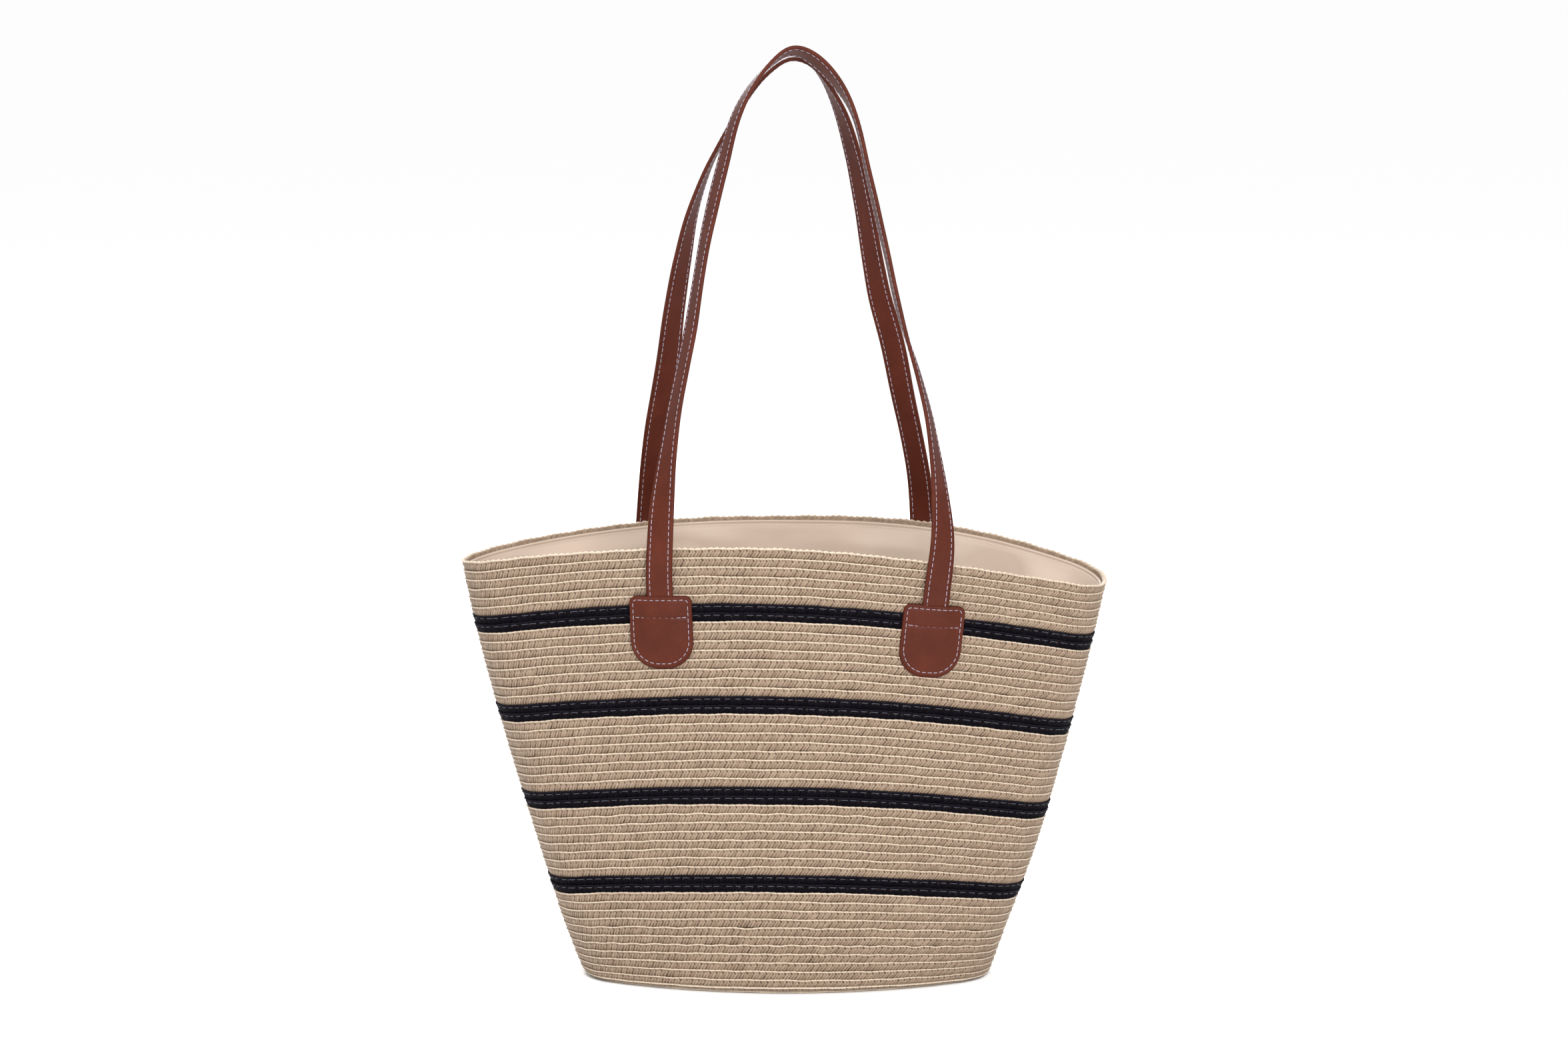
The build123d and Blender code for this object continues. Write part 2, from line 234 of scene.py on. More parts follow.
def plan(share, z, inset):
    """Point and outward direction at a share of the way round the bag, in plan.

    The share runs from the middle of the front by the right end, the back and the left end.
    """
    a = half_width(z) - inset
    b = half_depth(z) - inset
    end_share = (END_RADIUS - BASE_CORNER) / (BASE_HALF_DEPTH - BASE_CORNER)
    r = np.maximum(END_RADIUS - inset, (inset > BASE_CORNER) * b * end_share)
    side = ((a - r) ** 2 + b * b - r * r) / (2 * (b - r))
    alpha = np.arcsin((a - r) / (side - r))
    quarter = side * alpha + r * (np.pi / 2 - alpha)
    quarters = (share % 1.0) * 4
    number = np.floor(quarters).astype(int)
    part = quarters - number
    part = np.where(number % 2 == 1, 1 - part, part)
    reach = part * quarter
    on_face = reach < side * alpha
    beta = np.where(on_face, reach / side, alpha + (reach - side * alpha) / r)
    x = np.where(on_face, side * np.sin(beta), a - r + r * np.sin(beta))
    y = np.where(on_face, side * np.cos(beta) - (side - b), r * np.cos(beta))
    right = np.where(number < 2, 1.0, -1.0)
    back = np.where((number == 1) | (number == 2), 1.0, -1.0)
    return x * right, y * back, np.sin(beta) * right, np.cos(beta) * back


def wall(share, height, out):
    """Point on the bag: share round it, height up its face, and out mm outside the face.

    Below BASE_CORNER the height runs on round the corner, and then inwards along the base.
    """
    height = np.asarray(height, float)
    angle = np.clip((BASE_CORNER - height) / BASE_CORNER, 0, np.pi / 2)
    level = np.where(height > BASE_CORNER, height, BASE_CORNER * (1 - np.sin(angle)))
    corner_end = BASE_CORNER * (1 - np.pi / 2)
    inset = BASE_CORNER * (1 - np.cos(angle)) + np.maximum(0, corner_end - height)
    z = level + 0 * share
    for _ in range(6):             # z depends on x and y, and they on z: it settles in six rounds
        x, y, nx, ny = plan(share, z, inset)
        z = row_height(level, x, y)
    swell = soft_swell(share, level)
    level_out = (out + swell) * np.cos(angle)
    return np.stack([x + nx * level_out, y + ny * level_out, z - out * np.sin(angle)], -1)


def soft_swell(share, level):
    """How the soft wall wavers in and out, in mm."""
    turn = 2 * np.pi * share
    rise = np.clip(level / 60.0, 0, 1)
    wave = 0.5 * np.sin(3 * turn + level / 45) + 0.35 * np.sin(7 * turn - level / 30 + 1.3)
    return rise * (wave + 0.25 * np.sin(13 * turn + level / 22 + 2.1) + 0.7)


# ------------------------------ meshes


def fix_to_bag(piece, node):
    """Makes a piece ride on the bag, in place of a CAD node."""
    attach(piece, BAG)
    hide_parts(node)


def make_mesh(name, points, quads, material, attributes=None):
    """A smooth mesh object from points in mm and an array of quads."""
    mesh = bpy.data.meshes.new(name)
    points = np.asarray(points, np.float32).reshape(-1, 3) * 0.001
    quads = np.asarray(quads, np.int32).reshape(-1, 4)
    mesh.vertices.add(len(points))
    mesh.vertices.foreach_set("co", points.ravel())
    mesh.loops.add(quads.size)
    mesh.loops.foreach_set("vertex_index", quads.ravel())
    mesh.polygons.add(len(quads))
    mesh.polygons.foreach_set("loop_start", np.arange(0, quads.size, 4, dtype=np.int32))
    mesh.update(calc_edges=True)
    mesh.polygons.foreach_set("use_smooth", np.ones(len(quads), bool))
    for key, values in (attributes or {}).items():
        layer = mesh.attributes.new(key, "FLOAT", "POINT")
        layer.data.foreach_set("value", np.asarray(values, np.float32).ravel())
    mesh.materials.append(material)
    piece = bpy.data.objects.new(name, mesh)
    bpy.context.scene.collection.objects.link(piece)
    return piece


def grid_quads(rows, columns, wrap_rows=False, wrap_columns=False):
    """Quads of a grid of rows x columns points, closed round on itself where asked."""
    i = np.arange(rows if wrap_rows else rows - 1)[:, None]
    j = np.arange(columns if wrap_columns else columns - 1)[None, :]
    i_next = (i + 1) % rows
    j_next = (j + 1) % columns
    corners = [i * columns + j, i * columns + j_next, i_next * columns + j_next, i_next * columns + j]
    return np.stack([c + 0 * (i + j) for c in corners], -1).reshape(-1, 4)


def cap_quads(first, count):
    """Quads across a flattened ring of an even number of points, from index first on."""
    i = np.arange(count // 2 - 1)
    return first + np.stack([i, i + 1, count - 2 - i, count - 1 - i], -1)


def natural_spline(keys, values, at):
    """Natural cubic spline through rows of values at the keys, evaluated at other places."""
    steps = np.diff(keys)[:, None]
    slopes = np.diff(values, axis=0) / steps
    system = np.eye(len(keys))
    right = np.zeros_like(values)
    for i in range(1, len(keys) - 1):
        system[i, i - 1:i + 2] = steps[i - 1, 0], 2 * (steps[i - 1, 0] + steps[i, 0]), steps[i, 0]
        right[i] = 6 * (slopes[i] - slopes[i - 1])
    second = np.linalg.solve(system, right)
    span = np.clip(np.searchsorted(keys, at) - 1, 0, len(steps) - 1)
    step = steps[span]
    before = (keys[span + 1] - at)[:, None]
    after = (at - keys[span])[:, None]
    cubic = (second[span] * before ** 3 + second[span + 1] * after ** 3) / (6 * step)
    start = (values[span] / step - second[span] * step / 6) * before
    end = (values[span + 1] / step - second[span + 1] * step / 6) * after
    return cubic + start + end


def reach_along(points):
    """Length along a line of points up to each of them."""
    return np.concatenate([[0], np.cumsum(np.linalg.norm(np.diff(points, axis=0), axis=1))])


def unit(vectors):
    """The vectors at length 1."""
    return vectors / np.linalg.norm(vectors, axis=-1, keepdims=True)


def smoothstep(low, high, value):
    """0 below low, 1 above high, and smooth between."""
    t = np.clip((value - low) / (high - low), 0, 1)
    return t * t * (3 - 2 * t)


# ------------------------------ braid

# section of a row: how far down from its top edge, and how far out of the wall
ROW_SECTION = np.array([
    (0.0, -1.2), (0.1, -0.4), (0.35, 0.0), (0.6, -0.02), (0.8, -0.28), (1.1, -0.45),
    (1.6, -0.45), (2.2, -0.42), (2.8, -0.42), (3.5, -0.5), (4.2, -0.62), (4.9, -0.8),
    (5.6, -1.0), (6.3, -1.25), (7.2, -2.3)])
RIM_BACK_DOWN = np.array([7.2, 5.4, 4.0, 2.9, 1.9, 1.0, 0.3])    # seen above the lining
HIDDEN_BACK_DOWN = np.array([7.2, 3.6, 0.3])


def row_levels():
    """Level of each row's top edge at the middle of the front, its node, and if it is black."""
    rows = []
    top = RIM_HEIGHT
    for stripe, stripe_top in enumerate(STRIPE_TOPS, 1):
        count = TOP_BAND_ROWS if stripe == 1 else MIDDLE_BAND_ROWS
        for level in np.linspace(top, stripe_top, count, endpoint=False):
            rows.append((level, f"natural_band_{stripe}", False))
        top = stripe_top - STRIPE_HEIGHT
        for level in np.linspace(stripe_top, top, STRIPE_ROWS, endpoint=False):
            rows.append((level, f"black_stripe_{stripe}", True))
    while len(rows) < ROWS:
        node = "natural_band_5" if len(rows) < ROWS_IN_WALL else "base_braid"
        rows.append((top, node, False))
        top -= LOW_ROW_PITCH
    return rows


def ridge(phase):
    """Rounded ridge of one strand: 1 on its back, 0 in the valleys at whole phases."""
    return np.sqrt(np.abs(np.sin(np.pi * phase)))


def valley(phase, near, weak, strength):
    """Depth of the gap between two strands, where every second gap is a weak one."""
    return (1 - ridge(phase)) * np.where(near % 2 == 0, 1.0, weak) * strength[near]


def braid_relief(along, down, loops, rng, black):
    """Depth of the gaps, strand tone, painted shade of the gaps and holes, and speck of the braid along
    and down a row.
    """
    count = loops + 2
    strands = 2 * loops
    jitter = rng.normal(0, LOOP_JITTER, count)
    strength = np.clip(rng.normal(1.0, 0.22, (4, 2 * count)), 0.4, 1.7)
    tones = rng.random((3, 2 * count))
    place = along / LOOP_PITCH
    place = place + np.interp(place, np.arange(count), jitter)
    upper = 2 * (place - UPPER_SLANT * down / LOOP_PITCH)
    lower = 2 * (place + LOWER_SLANT * (down - HOLE_DOWN) / LOOP_PITCH - LOWER_SHIFT)
    upper_near = np.round(upper).astype(int) % strands
    lower_near = np.round(lower).astype(int) % strands
    upper_gap = valley(upper, upper_near, 0.55, strength[0]) * (0.3 + 0.55 * smoothstep(0.4, 1.2, down))
    lower_gap = valley(lower, lower_near, 0.7, strength[1]) * (0.4 + 0.7 * smoothstep(2.6, 4.4, down))
    blend = smoothstep(HOLE_DOWN - 0.4, HOLE_DOWN + 0.4, down)
    gaps = (1 - blend) * upper_gap + blend * lower_gap
    hole_phase = place - UPPER_SLANT * HOLE_DOWN / LOOP_PITCH
    nearest = np.round(2 * hole_phase)
    hole_at = (hole_phase - nearest / 2) * LOOP_PITCH
    hole_id = nearest.astype(int) % strands
    whole = hole_id % 2 == 0
    hole = np.exp(-(hole_at / HOLE_WIDTH) ** 2 - ((down - HOLE_DOWN) / HOLE_HEIGHT) ** 2)
    hole = hole * np.where(whole, 1.0, 0.3) * strength[2][hole_id]
    depth = (BLACK_GAP_DEPTH if black else GAP_DEPTH) * gaps + HOLE_DEPTH * hole
    upper_tone = tones[0][np.floor(upper).astype(int) % strands]
    lower_tone = tones[1][np.floor(lower).astype(int) % strands]
    tone = np.where(blend < 0.5, upper_tone, lower_tone)
    # painted shade: the gaps between strands and the holes are darkened in colour
    shade = np.clip(1.7 * gaps ** 1.4 + 1.2 * hole, 0, 1)
    speck = np.clip(hole * np.where(whole, strength[3][hole_id] - 0.5, 0), 0, 1)
    return depth, tone, shade, speck


def waver(rng, turn, amount):
    """A slow random wave along a closed row."""
    waves = [(k, rng.normal(0, amount), rng.uniform(0, 6.3)) for k in (3, 5, 9, 14, 22, 31, 45)]
    return sum(size * np.sin(k * turn + start) for k, size, start in waves)


def row_ring(level, drop):
    """Shares of the way round a row, and the length along its ring up to each of them."""
    probe = np.linspace(0, 1, 721)
    return probe, reach_along(wall(probe, level - drop, 0.0))


def braid_row(number, level, material, black):
    """One row of sewn braid: a closed ring, detailed outside and plainer inside."""
    rng = np.random.default_rng(1000 + number)
    rim = number == 0
    probe, reach = row_ring(level, LOW_ROW_PITCH / 2)
    loops = max(8, int(round(reach[-1] / LOOP_PITCH)))
    samples = SAMPLES_PER_LOOP if number < ROWS_IN_WALL else SAMPLES_PER_LOOP // 2
    columns = loops * samples
    share = np.interp(np.arange(columns) / columns * reach[-1], reach, probe)
    share = share + rng.random() / loops
    along = np.arange(columns)[:, None] * LOOP_PITCH / samples
    turn = 2 * np.pi * np.arange(columns) / columns

    section_down = ROW_SECTION[:, 0]
    down = np.broadcast_to(section_down, (columns, len(section_down)))
    depth, tone, shade, speck = braid_relief(along, down, loops, rng, black)
    twist = (along - 0.5 * down) / LOOP_PITCH % 1.0
    scallop = (RIM_SCALLOP if rim else ROW_SCALLOP) * np.sin(np.pi * twist ** 1.7)
    scallop = scallop * np.clip(1 - down, 0, 1)

    back_section = RIM_BACK_DOWN if rim else HIDDEN_BACK_DOWN
    back_down = np.broadcast_to(back_section, (columns, len(back_section)))
    back_depth, back_tone, back_shade, back_speck = braid_relief(along, back_down, loops, rng, black)
    rope = ridge(2 * (along - 0.8 * back_down) / LOOP_PITCH) if rim else 0 * back_down
    back_out = -WALL_THICKNESS + 0.35 * back_depth - 0.15 - 0.6 * rope
    # painted shade on the rim's inner face, darker between the rope's ridges
    back_shade = 0.25 * back_shade + 0.15 * (1 - rope) * rim

    height = np.concatenate([level - down + scallop, level - back_down], 1)
    height = height + waver(rng, turn, 0.09)[:, None]
    out = np.concatenate([ROW_SECTION[:, 1] - depth, back_out], 1)
    out = out + waver(rng, turn, 0.05)[:, None]
    if number >= ROWS_IN_WALL:
        out = np.minimum(out, 0)
        height = np.maximum(height, DISC_EDGE)
    points = wall(share[:, None] + 0 * height, height, out)
    points[..., 2] = np.maximum(points[..., 2], 0.0)

    def outside_only(values):
        """The values across the row's outside, and 0 across its back."""
        return np.concatenate([np.broadcast_to(values, down.shape), 0 * back_down], 1)

    quads = grid_quads(columns, points.shape[1], wrap_rows=True, wrap_columns=True)[:, ::-1]
    return make_mesh(
        f"braid_row_{number + 1:02d}", points, quads, material,
        {"tone": np.concatenate([tone, back_tone], 1),
         "painted_gap_shade": np.concatenate([shade, back_shade], 1),
         "speck": np.concatenate([speck, back_speck], 1),
         "lip_highlight": outside_only(smoothstep(LIP_HIGHLIGHT_DOWN + 0.15, LIP_HIGHLIGHT_DOWN - 0.25, section_down)),
         "foot_shade": outside_only(smoothstep(FOOT_SHADE_START, FOOT_SHADE_END, section_down))})


def make_braid(straw, black_straw, grey_thread):
    """Every row, from the rim down the wall and in under the base, and the stripes' seams."""
    for number, (level, node, black) in enumerate(row_levels()):
        row = braid_row(number, level, black_straw if black else straw, black)
        fix_to_bag(row, node)
        if black:
            fix_to_bag(seam_thread(number, level, grey_thread), node)


def seam_thread(number, level, material):
    """The grey running stitches that show on a black row."""
    rng = np.random.default_rng(2000 + number)
    length = row_ring(level, SEAM_DOWN)[1][-1]
    share = np.linspace(0, 1, 1800)
    line = wall(share, level - SEAM_DOWN, -SEAM_SINK)
    outward = wall(share, level - SEAM_DOWN, 1.0) - line
    count = int(length / SEAM_PITCH)
    starts = (np.arange(count) + rng.uniform(-0.1, 0.1, count)) * length / count
    lengths = SEAM_STITCH * rng.uniform(0.75, 1.15, count)
    return stitch_mesh(
        f"seam_thread_{number + 1:02d}", line, outward, starts, lengths, SEAM_RADIUS, material)


# ------------------------------ thread


def stitch_mesh(name, line, outward, starts, lengths, radius, material):
    """Separate stitches along a line of points: each rises out of the surface and dips back in."""
    reach = reach_along(line)
    part = np.linspace(0, 1, STITCH_RINGS)
    place = starts[:, None] + lengths[:, None] * part[None, :]
    centre = np.stack([np.interp(place, reach, line[:, k]) for k in range(3)], -1)
    normal = unit(np.stack([np.interp(place, reach, outward[:, k]) for k in range(3)], -1))
    along = unit(np.gradient(centre, axis=1))
    beside = np.cross(along, normal)
    lift = radius * (0.5 - 1.4 * (2 * part - 1) ** 6)
    centre = centre + normal * lift[None, :, None]
    thick = radius * np.sqrt(np.clip(1 - (2 * part - 1) ** 8, 0.03, 1))
    angle = 2 * np.pi * np.arange(STITCH_SIDES) / STITCH_SIDES
    spoke = (normal[:, :, None, :] * np.cos(angle)[None, None, :, None]
             + beside[:, :, None, :] * np.sin(angle)[None, None, :, None])
    points = centre[:, :, None, :] + spoke * thick[None, :, None, None]
    one = grid_quads(STITCH_RINGS, STITCH_SIDES, wrap_columns=True)
    last = (STITCH_RINGS - 1) * STITCH_SIDES
    one = np.concatenate([one, cap_quads(0, STITCH_SIDES)[:, ::-1], cap_quads(last, STITCH_SIDES)])
    size = STITCH_RINGS * STITCH_SIDES
    quads = (one[None] + size * np.arange(len(starts))[:, None, None]).reshape(-1, 4)
    return make_mesh(name, points, quads, material)


def even_stitches(total, rng, start=0.0):
    """Where the stitches of a line of this length start, and how long each is."""
    count = int((total - start) / STITCH_PITCH)
    starts = start + STITCH_PITCH * np.arange(count) + rng.uniform(-0.15, 0.15, count)
    return starts, STITCH_LENGTH * rng.uniform(0.88, 1.08, count)


# ------------------------------ leather


def face_radius(z):
    """Plan radius of the front and back faces."""
    a = half_width(z)
    b = half_depth(z)
    return ((a - END_RADIUS) ** 2 + b * b - END_RADIUS ** 2) / (2 * (b - END_RADIUS))


def wall_point(x, z, side):
    """Point of the front (side -1) or rear (side 1) wall."""
    radius = face_radius(z)
    return np.array([x, side * (math.sqrt(radius * radius - x * x) - radius + half_depth(z)), z])


def tab_frame(corner):
    """Origin of a tab at the middle of its top edge, and its directions: across, up and out."""
    x, z, roll = TABS[corner]
    side = -1 if corner.startswith("front") else 1
    step = 2.0
    across = -side * (wall_point(x + step, z, side) - wall_point(x - step, z, side))
    rise = wall_point(x, z + step, side) - wall_point(x, z - step, side)
    out = unit(np.cross(across, rise))
    across = unit(across)
    roll = math.radians(roll)
    across = across * math.cos(roll) + np.cross(out, across) * math.sin(roll)
    return wall_point(x, z, side), across, np.cross(out, across), out


def on_tab(corner, u, v, w):
    """Points u across, v up and w out from a tab's origin."""
    origin, across, up, out = tab_frame(corner)
    spread = [np.asarray(c, float)[..., None] for c in np.broadcast_arrays(u, v, w)]
    return origin + spread[0] * across + spread[1] * up + spread[2] * out


def tab_outline(inset, drop, count):
    """The D-shaped outline moved inwards by inset: u across and v up, anticlockwise."""
    half = TAB_WIDTH / 2 - inset
    top = -inset
    bottom = -TAB_HEIGHT - drop + inset
    small = min(max(TAB_TOP_CORNER - inset, 0.4), half * 0.98)
    large = min(max(TAB_BOTTOM_CORNER - inset, 0.4), half * 0.98)
    quarter = np.linspace(0, np.pi / 2, 24)
    u = np.concatenate([
        half - small + small * np.cos(quarter), -half + small - small * np.sin(quarter),
        -half + large - large * np.cos(quarter), half - large + large * np.sin(quarter)])
    v = np.concatenate([
        top - small + small * np.sin(quarter), top - small + small * np.cos(quarter),
        bottom + large - large * np.sin(quarter), bottom + large - large * np.cos(quarter)])
    u = np.append(u, u[0])
    v = np.append(v, v[0])
    reach = reach_along(np.stack([u, v], -1))
    at = np.linspace(0, reach[-1], count, endpoint=False)
    return np.interp(at, reach, u), np.interp(at, reach, v)


def tab_height(u, v, inset):
    """Height of a tab's face above the wall: domed over the strap, pulled in by its stitches."""
    over_strap = (1 - smoothstep(6.5, 18.5, np.abs(u))) * (1 - smoothstep(22, 44, -v))
    dome = TAB_DOME * smoothstep(2.6, 12, inset)
    groove = OUTLINE_GROOVE * np.exp(-((inset - TAB_STITCH_INSET) / 0.8) ** 2)
    cross = CROSS_GROOVE * np.exp(-((v + CROSS_STITCH_DROP) / 0.9) ** 2) * smoothstep(2.0, 3.2, inset)
    return BACKING_TOP + TAB_LEATHER + 0.3 + STRAP_BULGE * over_strap + dome - groove - cross


def make_plate(name, corner, drop, bottom, height, rounding, material):
    """A leather plate in the tab's outline, with a rounded edge and a shaped face."""
    deepest = TAB_WIDTH / 2 - 0.05
    insets = np.concatenate([
        rounding * (1 - np.cos(np.linspace(0, np.pi / 2, 7))),
        np.linspace(rounding, deepest, PLATE_RINGS)[1:]])
    u, v = tab_outline(0, drop, OUTLINE_POINTS)
    rings = [on_tab(corner, u, v, bottom)]
    for inset in insets:
        u, v = tab_outline(inset, drop, OUTLINE_POINTS)
        edge = min(inset / rounding, 1)
        sink = rounding * (1 - math.sqrt(1 - (1 - edge) ** 2))
        rings.append(on_tab(corner, u, v, height(u, v, inset) - sink))
    points = np.stack(rings)
    quads = grid_quads(len(rings), OUTLINE_POINTS, wrap_columns=True)
    last = (len(rings) - 1) * OUTLINE_POINTS
    face = cap_quads(last, OUTLINE_POINTS)
    back = cap_quads(0, OUTLINE_POINTS)[:, ::-1]
    return make_mesh(name, points, np.concatenate([quads, face, back]), material)


def make_tabs(leather, thread):
    """Four tabs, each with a backing, a row of stitches round it and one across it."""
    for number, corner in enumerate(TABS):
        rng = np.random.default_rng(300 + number)
        tab = make_plate(
            f"{corner}_tab_leather", corner, 0.0, BACKING_TOP, tab_height, 1.4, leather)
        backing = make_plate(
            f"{corner}_tab_backing_leather", corner, BACKING_DROP, WALL_GAP,
            lambda u, v, inset: BACKING_TOP + 0 * u, 0.4, leather)
        u, v = tab_outline(TAB_STITCH_INSET, 0.0, OUTLINE_POINTS)
        u, v = np.append(u, u[0]), np.append(v, v[0])
        line = on_tab(corner, u, v, tab_height(u, v, TAB_STITCH_INSET))
        normal = np.broadcast_to(tab_frame(corner)[3], line.shape)
        starts, lengths = even_stitches(reach_along(line)[-1], rng)
        outline = stitch_mesh(
            f"{corner}_tab_stitches", line, normal, starts, lengths, THREAD_RADIUS, thread)
        u = np.linspace(-1, 1, 60) * (TAB_WIDTH / 2 - TAB_STITCH_INSET - 0.6)
        v = -CROSS_STITCH_DROP + 0 * u
        line = on_tab(corner, u, v, tab_height(u, v, 6.0))
        starts, lengths = even_stitches(TAB_WIDTH - 2 * TAB_STITCH_INSET, rng, 0.8)
        normal = np.broadcast_to(tab_frame(corner)[3], line.shape)
        across = stitch_mesh(
            f"{corner}_tab_cross_stitches", line, normal, starts, lengths, THREAD_RADIUS, thread)
        for piece in (tab, outline, across):
            fix_to_bag(piece, f"{corner}_tab")
        fix_to_bag(backing, f"{corner}_tab_backing")


def sewn_end(corner):
    """Points of the strap's end behind a tab, from the lowest up, and the way each one faces."""
    points = [on_tab(corner, 0, v, STRAP_CENTRE) for v in SEWN_HEIGHTS]
    return points, [tab_frame(corner)[3]] * len(points)


def free_points(route, side):
    """Points of a handle's route, which leans evenly from the wall to where the handles meet."""
    ends = (route[0], route[-1])
    low = [wall_point(x, z, side)[1] + side * (STRAP_CENTRE + 0.6) for x, z, _ in ends]
    top = max(range(len(route)), key=lambda k: route[k][1])
    points = []
    for k, (x, z, _) in enumerate(route):
        end = 0 if k <= top else -1
        share = (z - route[end][1]) / (route[top][1] - route[end][1])
        points.append(np.array([x, low[end] + (side * APEX_OFFSET - low[end]) * share, z]))
    return points


def strap_line(route, first, last, side):
    """Centre line of a handle with its sewn ends, its direction, and the way its outside faces."""
    first_points, first_faces = sewn_end(first)
    last_points, last_faces = sewn_end(last)
    keys = np.array(first_points + free_points(route, side) + last_points[::-1])
    reach = reach_along(keys)
    at = np.linspace(0, reach[-1], int(reach[-1] / STRAP_STEP))
    line = natural_spline(reach, keys, at)
    along = unit(np.gradient(line, axis=0))
    along_keys = np.stack([np.interp(reach, at, along[:, k]) for k in range(3)], -1)
    outward = np.array([0.0, side, 0.0])
    faces = list(first_faces)
    for (_, _, turn), tangent in zip(route, along_keys[len(first_faces):]):
        face = unit(outward - tangent * outward.dot(tangent))
        beside = np.cross(face, tangent)
        faces.append(face * math.cos(math.radians(turn)) + beside * math.sin(math.radians(turn)))
    faces += last_faces
    normal = natural_spline(reach, np.array(faces), at)
    normal = unit(normal - along * (normal * along).sum(1, keepdims=True))
    return line, along, normal


def strap_section():
    """Outline of the folded strap: u across and w through it, grooved along the stitch lines."""
    flat = STRAP_WIDTH / 2 - STRAP_EDGE
    half_thick = STRAP_THICKNESS / 2 - STRAP_SPARE
    u = np.linspace(-flat, flat, 31)
    groove = STRAP_GROOVE * np.exp(-((np.abs(u) - (STRAP_WIDTH / 2 - STITCH_INSET)) / 0.6) ** 2)
    crown = STRAP_CROWN * np.cos(np.pi * u / STRAP_WIDTH)
    w = half_thick + crown - groove
    corner = np.linspace(np.pi / 2, -np.pi / 2, 9)[1:-1]
    round_u = flat + STRAP_EDGE * np.cos(corner)
    round_w = half_thick * np.sin(corner)
    return (np.concatenate([u, round_u, u[::-1], -round_u[::-1]]),
            np.concatenate([w, round_w, -w[::-1], -round_w[::-1]]))


def make_strap(name, route, first, last, side, leather, thread):
    """One handle, its two rows of stitches on each face, and its bending where it leaves the bag."""
    rng = np.random.default_rng(77 if side < 0 else 78)
    line, along, normal = strap_line(route, first, last, side)
    beside = np.cross(along, normal)
    u, w = strap_section()
    turn = 2 * np.pi * np.arange(len(line)) / len(line)
    ripple = waver(rng, turn, STRAP_RIPPLE)
    points = (line[:, None, :] + beside[:, None, :] * u[None, :, None]
              + normal[:, None, :] * (w[None, :] + ripple[:, None])[:, :, None])
    quads = grid_quads(len(line), len(u), wrap_columns=True)
    last_ring = (len(line) - 1) * len(u)
    caps = [cap_quads(0, len(u))[:, ::-1], cap_quads(last_ring, len(u))]
    pieces = [make_mesh(f"{name}_strap", points, np.concatenate([quads, *caps]), leather)]
    total = reach_along(line)[-1]
    from_middle = STRAP_WIDTH / 2 - STITCH_INSET
    from_centre = STRAP_THICKNESS / 2 - STITCH_SINK
    for face, face_name in ((1, "outer"), (-1, "inner")):
        for hand, hand_name in ((1, "a"), (-1, "b")):
            row = line + beside * hand * from_middle + normal * (ripple[:, None] + face * from_centre)
            starts, lengths = even_stitches(total, rng, rng.uniform(0, STITCH_PITCH))
            pieces.append(stitch_mesh(
                f"{name}_{face_name}_stitches_{hand_name}", row, face * normal, starts, lengths,
                THREAD_RADIUS, thread))
    for piece in pieces:
        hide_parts(name, f"{first}_strap_end", f"{last}_strap_end")
        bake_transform(piece)


# ------------------------------ lining


def cloth_sheet(name, points, material):
    """A sheet of cloth with both faces, from a grid of points, rows first."""
    rows, columns = points.shape[:2]
    across = np.gradient(points, axis=1)
    down = np.gradient(points, axis=0)
    normal = unit(np.cross(across, down) + 1e-9)
    both = np.stack([points + normal * CLOTH_THICKNESS / 2, points - normal * CLOTH_THICKNESS / 2])
    front = grid_quads(rows, columns)
    quads = [front, front[:, ::-1] + rows * columns]
    border = np.concatenate([
        np.arange(columns), np.arange(1, rows) * columns + columns - 1,
        (rows - 1) * columns + np.arange(columns - 2, -1, -1), np.arange(rows - 2, 0, -1) * columns])
    after = np.roll(border, -1)
    quads.append(np.stack([border, border + rows * columns, after + rows * columns, after], -1))
    return make_mesh(name, both, np.concatenate(quads), material)


def lining_folds(share, depth):
    """How far the loose lining stands in from the straw, in mm, at a depth below its hem."""
    turn = 2 * np.pi * share
    loose = smoothstep(3, 17, depth) * (1 - smoothstep(230, 285, depth))
    slack = 1.6 + 1.1 * np.sin(5 * turn + 0.6) + 0.9 * np.sin(9 * turn + depth / 60 + 1.9)
    slack = slack + 0.6 * np.sin(17 * turn - depth / 35) + 0.5 * np.sin(3 * turn + depth / 28 + 2.2)
    for where, low, wide, high, size in LINING_DENTS:
        slack = slack + size * np.exp(-((share - where) / wide) ** 2 - ((depth - low) / high) ** 2)
    return np.maximum(loose * slack, 0) + 0.3 * smoothstep(HEM_DEPTH, HEM_DEPTH + 2.5, depth)


def make_lining(cloth, hem_thread):
    """Two panels, the folded hem with its stitches, the bottom and the slip pocket."""
    rim = RIM_HEIGHT - LINING_BELOW_RIM
    fine = np.linspace(HEM_DEPTH - 0.6, FINE_LINING, 48)
    coarse = np.linspace(FINE_LINING, rim + PANEL_TUCK, 90)[1:]
    depth = np.concatenate([fine, coarse])
    for name, start in PANEL_STARTS.items():
        share = start + np.linspace(0, PANEL_SPAN, 240)
        share_grid, depth_grid = np.meshgrid(share, depth)
        inset = LINING_INSET + lining_folds(share_grid % 1.0, depth_grid)
        points = wall(share_grid, rim - depth_grid, -inset)
        panel = cloth_sheet(f"{name}_cloth", points, cloth)
        fix_to_bag(panel, name)
    share = np.linspace(0, 1, 480, endpoint=False)
    make_hem(share, rim, cloth, hem_thread)
    make_lining_base(share, cloth)
    make_pocket(cloth)


